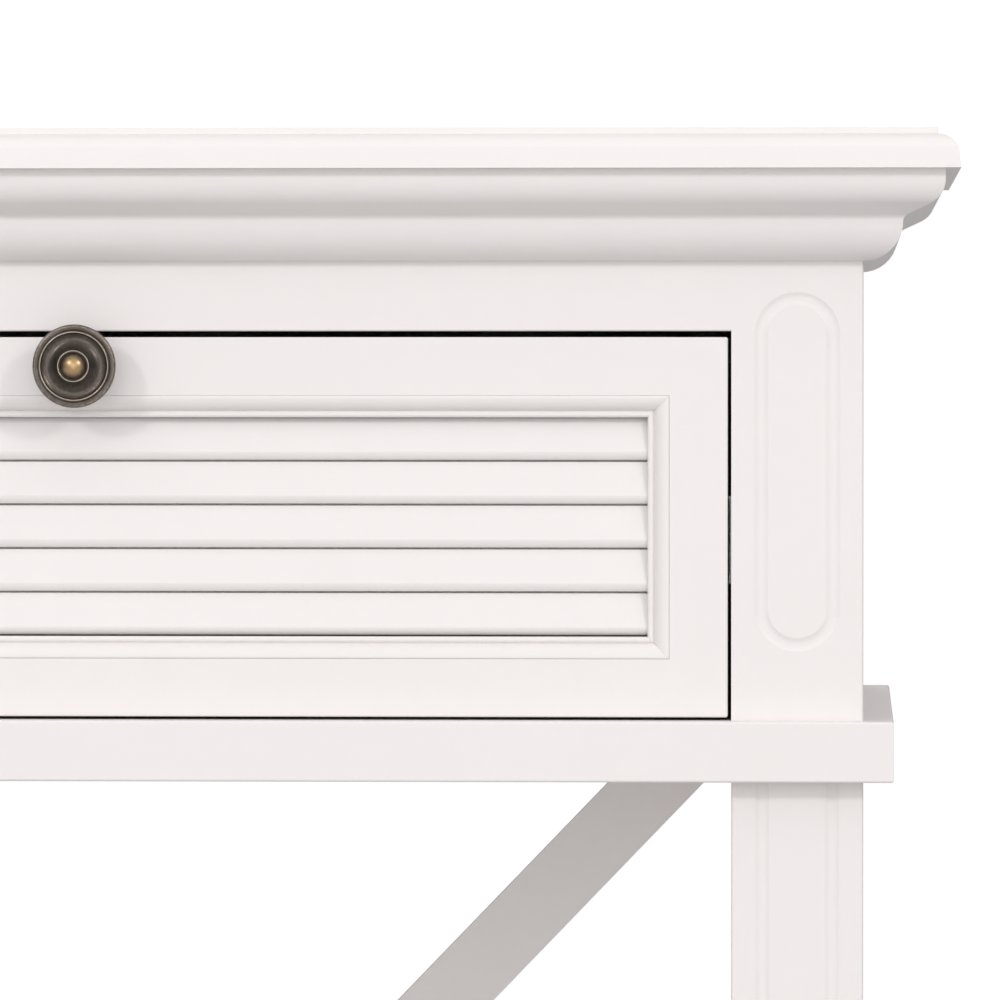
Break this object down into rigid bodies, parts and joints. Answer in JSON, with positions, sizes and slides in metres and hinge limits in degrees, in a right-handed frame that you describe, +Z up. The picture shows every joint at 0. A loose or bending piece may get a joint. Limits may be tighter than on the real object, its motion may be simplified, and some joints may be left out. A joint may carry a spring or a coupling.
{
  "type": "console table",
  "caption": "Long narrow console table with inset louvred drawers, a moulded top and cornice, fluted square legs, X-braced back and a low shelf.",
  "frame": {"origin": "centre of the table's footprint on the floor", "axes": "+X along the table to the viewer's right, front facing -Y, +Z up"},
  "size_m": [1.268, 0.4, 0.85],
  "materials": {
    "white_paint": "satin white paint on wood",
    "raw_wood": "clear-sealed plywood and softwood",
    "beech": "plain turned beech",
    "bronze": "antique bronze with worn brass edges",
    "steel": "zinc-plated steel",
    "nylon": "matt moulded nylon"
  },
  "bodies": {
    "table": {"top_board": "white_paint", "cornice_front": "white_paint", "cornice_left": "white_paint", "cornice_right": "white_paint", "top_rail": "white_paint", "post_front_left": "white_paint", "post_front_right": "white_paint", "post_rear_left": "white_paint", "post_rear_right": "white_paint", "centre_stile": "white_paint", "centre_divider": "raw_wood", "side_panel_left": "white_paint", "side_panel_right": "white_paint", "back_panel": "white_paint", "slide_packers": "raw_wood", "top_battens": "raw_wood", "batten_screws": "steel", "case_bottom": "white_paint", "leg_front_left": "white_paint", "leg_front_right": "white_paint", "leg_rear_left": "white_paint", "leg_rear_right": "white_paint", "leg_rear_centre": "white_paint", "brace_left_outward": "white_paint", "brace_left_inward": "white_paint", "brace_right_outward": "white_paint", "brace_right_inward": "white_paint", "shelf_board": "white_paint", "feet": "white_paint", "floor_glides": "nylon", "dowels": "beech", "drawer_left_slide_channels": "steel", "drawer_right_slide_channels": "steel"},
    "drawer_left": {"drawer_left_top_rail": "white_paint", "drawer_left_bottom_rail": "white_paint", "drawer_left_stiles": "white_paint", "drawer_left_moulding": "white_paint", "drawer_left_louvre_slats": "white_paint", "drawer_left_knob": "bronze", "drawer_left_knob_screw": "steel", "drawer_left_box_front": "raw_wood", "drawer_left_box_sides": "raw_wood", "drawer_left_box_back": "raw_wood", "drawer_left_box_bottom": "raw_wood", "drawer_left_slide_inners": "steel"},
    "ball_cages_left": {"drawer_left_ball_cages": "steel"},
    "drawer_right": {"drawer_right_top_rail": "white_paint", "drawer_right_bottom_rail": "white_paint", "drawer_right_stiles": "white_paint", "drawer_right_moulding": "white_paint", "drawer_right_louvre_slats": "white_paint", "drawer_right_knob": "bronze", "drawer_right_knob_screw": "steel", "drawer_right_box_front": "raw_wood", "drawer_right_box_sides": "raw_wood", "drawer_right_box_back": "raw_wood", "drawer_right_box_bottom": "raw_wood", "drawer_right_slide_inners": "steel"},
    "ball_cages_right": {"drawer_right_ball_cages": "steel"}
  },
  "joints": [
    {"name": "drawer_left_slide", "type": "slide", "parent": "table", "child": "drawer_left", "axis": [0, -1, 0], "range_m": [0, 0.225]},
    {"name": "ball_cages_left_roll", "type": "slide", "parent": "table", "child": "ball_cages_left", "axis": [0, -1, 0], "range_m": [0, 0.1125]},
    {"name": "drawer_right_slide", "type": "slide", "parent": "table", "child": "drawer_right", "axis": [0, -1, 0], "range_m": [0, 0.225]},
    {"name": "ball_cages_right_roll", "type": "slide", "parent": "table", "child": "ball_cages_right", "axis": [0, -1, 0], "range_m": [0, 0.1125]}
  ],
  "couplings": [
    {"joint": "ball_cages_left_roll", "follows": "drawer_left_slide", "ratio": 0.5},
    {"joint": "ball_cages_right_roll", "follows": "drawer_right_slide", "ratio": 0.5}
  ]
}
